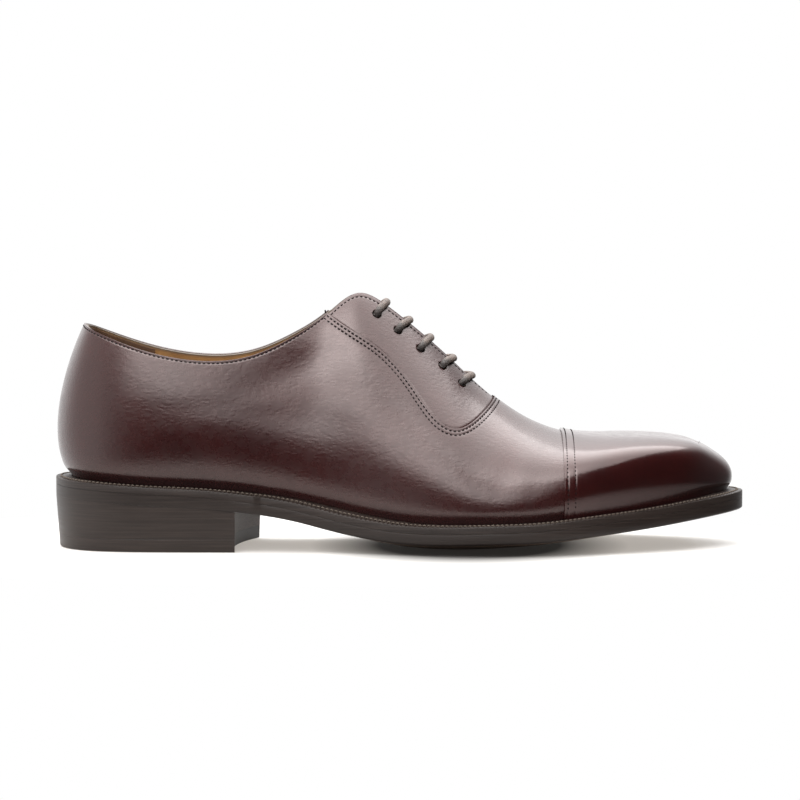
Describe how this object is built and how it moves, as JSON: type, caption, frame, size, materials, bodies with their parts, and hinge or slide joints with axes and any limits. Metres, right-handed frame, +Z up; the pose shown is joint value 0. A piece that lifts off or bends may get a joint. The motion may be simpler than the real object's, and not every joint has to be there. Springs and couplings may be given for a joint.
{
  "type": "adelaide oxford shoe",
  "caption": "Dark brown calf adelaide oxford for the right foot, with a plain toe cap, U-shaped facing, straight lacing, welted leather sole and stacked heel.",
  "frame": {"origin": "on the floor, at the middle of the shoe's length and width", "axes": "+X towards the toe, +Y towards the inner side of the foot, +Z up"},
  "size_m": [0.3044, 0.1048, 0.1119],
  "materials": {
    "calf": "polished box calf, dark burgundy brown",
    "lining": "undyed tan calf, matt",
    "sole_leather": "edge-dressed sole leather, dark brown wax",
    "heel_leather": "stacked leather lifts, dark brown wax",
    "heel_rubber": "smooth matt rubber",
    "lace": "round waxed cotton, woven"
  },
  "bodies": {
    "root": {"upper": "calf", "toe_cap": "calf", "facing_lateral": "calf", "facing_medial": "calf", "tongue": "calf", "insole": "lining", "welt": "sole_leather", "outsole": "sole_leather", "heel_stack": "heel_leather", "heel_top_lift": "heel_rubber", "lace_bar_1": "lace", "lace_bar_2": "lace", "lace_bar_3": "lace", "lace_bar_4": "lace", "lace_bar_5": "lace"}
  },
  "joints": []
}
